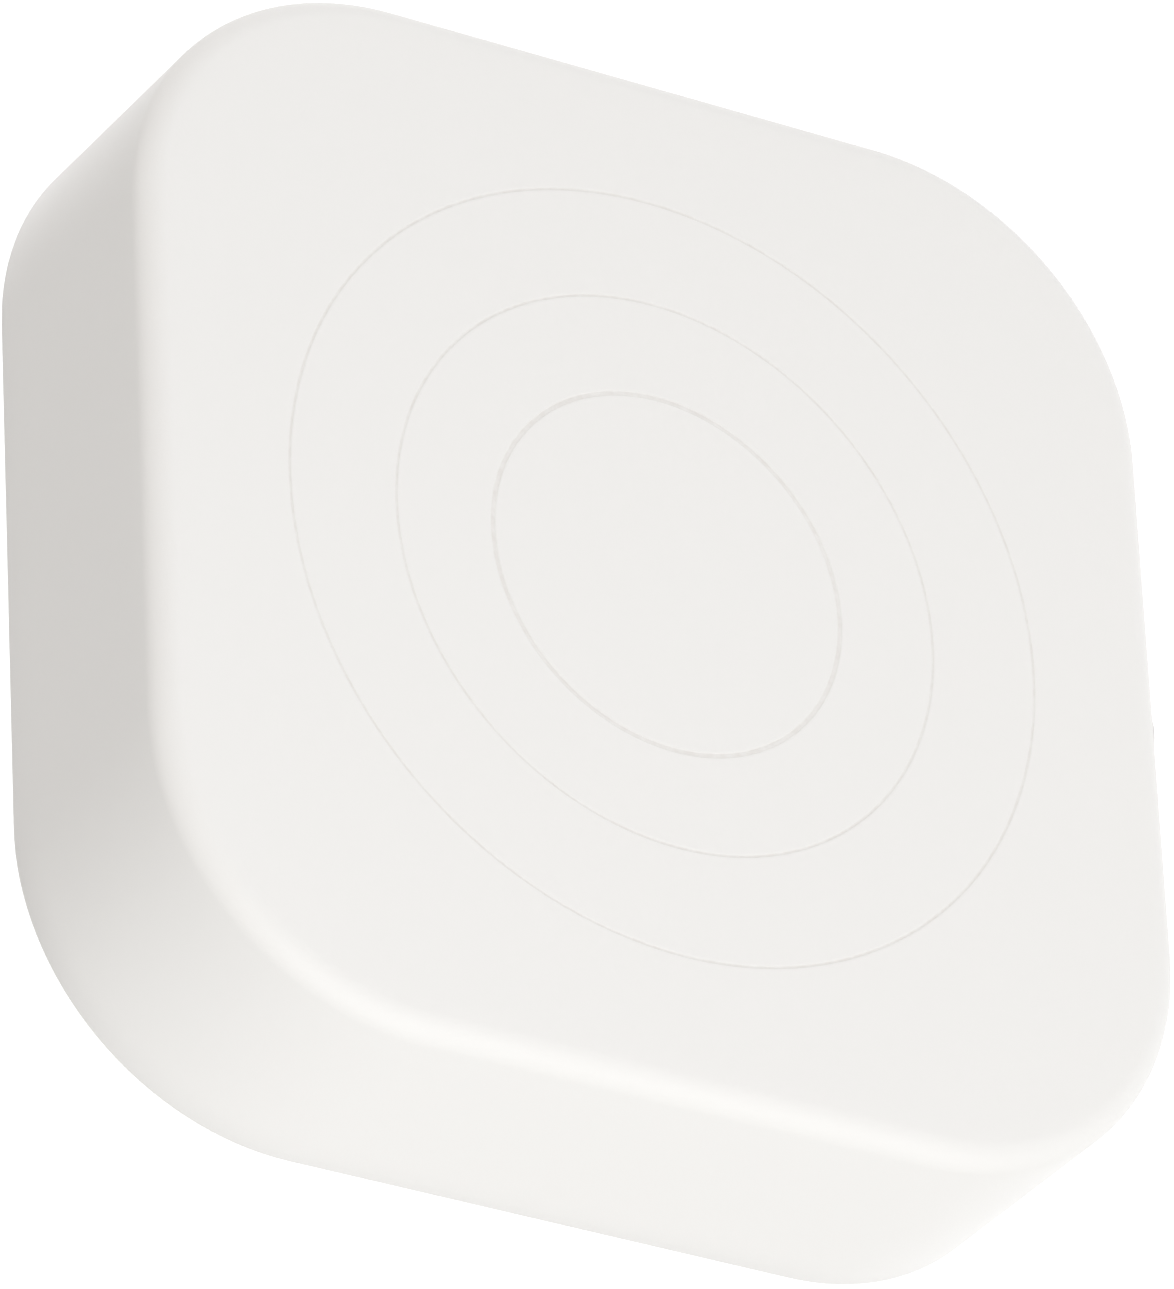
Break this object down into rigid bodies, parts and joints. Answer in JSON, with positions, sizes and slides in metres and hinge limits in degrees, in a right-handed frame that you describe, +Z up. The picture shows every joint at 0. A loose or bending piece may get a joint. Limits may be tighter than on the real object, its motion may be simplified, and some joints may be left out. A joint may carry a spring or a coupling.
{
  "type": "door contact sensor",
  "caption": "Square white door contact sensor with round corners, ring grooves on its face, a side button and a reed switch, battery and radio inside.",
  "frame": {"origin": "middle of the adhesive face that sticks to the door frame or wall", "axes": "+Z up the wall, +Y into the wall out of the adhesive face, +X to the right seen from the front, where the side button is"},
  "size_m": [0.0573, 0.0148, 0.056],
  "materials": {
    "cover_white": "fine satin moulded white plastic",
    "button_white": "satin moulded white plastic",
    "base_white": "finely spark-textured white plastic",
    "milky_guide": "milky translucent plastic",
    "foam_pad": "closed-cell foam tape with a smooth adhesive face",
    "board_green": "solder mask over glass-fibre laminate",
    "black_plastic": "moulded black plastic",
    "steel": "bright nickel-plated steel",
    "spring_steel": "stamped spring steel, nickel plated",
    "shield_tin": "tin-plated sheet",
    "nickel_lead": "tinned nickel-iron wire",
    "electrode": "pressed electrode stack",
    "reed_glass": "clear glass with a faint green tint",
    "chip_black": "moulded chip package",
    "capacitor_tan": "moulded capacitor body",
    "led_white": "clear lens over a white lamp"
  },
  "bodies": {
    "base": {"back_plate": "base_white", "adhesive_pad": "foam_pad", "circuit_board": "board_green", "board_screw_1": "steel", "board_screw_2": "steel", "battery_holder": "black_plastic", "battery_clip": "spring_steel", "battery_contact": "spring_steel", "reed_glass": "reed_glass", "reed_lead_fixed": "nickel_lead", "reed_lead_moving": "nickel_lead", "tact_switch_body": "black_plastic", "tact_switch_bracket": "spring_steel", "radio_board": "board_green", "radio_chip": "chip_black", "radio_shield": "shield_tin", "antenna": "nickel_lead", "microcontroller": "chip_black", "voltage_regulator": "chip_black", "crystal": "shield_tin", "capacitor": "capacitor_tan", "status_led": "led_white"},
    "cover": {"front_cover": "cover_white", "light_guide": "milky_guide"},
    "button": {"side_button": "button_white"},
    "battery": {"coin_cell_can": "steel", "coin_cell_cap": "steel", "coin_cell_gasket": "black_plastic", "coin_cell_electrodes": "electrode"},
    "switch_stem": {"tact_switch_stem": "black_plastic"},
    "reed_contact": {"reed_blade": "nickel_lead"}
  },
  "joints": [
    {"name": "cover_pull", "type": "slide", "parent": "base", "child": "cover", "axis": [0, -1, 0], "range_m": [0, 0.04]},
    {"name": "button_press", "type": "slide", "parent": "cover", "child": "button", "axis": [-1, 0, 0], "range_m": [0, 0.0003], "stiffness_N_per_m": 1500, "springref_m": -0.0001},
    {"name": "switch_press", "type": "slide", "parent": "base", "child": "switch_stem", "axis": [-1, 0, 0], "range_m": [0, 0.0003]},
    {"name": "battery_slide", "type": "slide", "parent": "base", "child": "battery", "axis": [0, 0, -1], "range_m": [0, 0.0055]},
    {"name": "reed_close", "type": "hinge", "parent": "base", "child": "reed_contact", "pos_m": [-0.0208, -0.00835, 0.0063], "axis": [1, 0, 0], "range_deg": [0, 1.2], "stiffness_Nm_per_rad": 0.02}
  ],
  "couplings": [
    {"joint": "switch_press", "follows": "button_press", "ratio": 1}
  ]
}
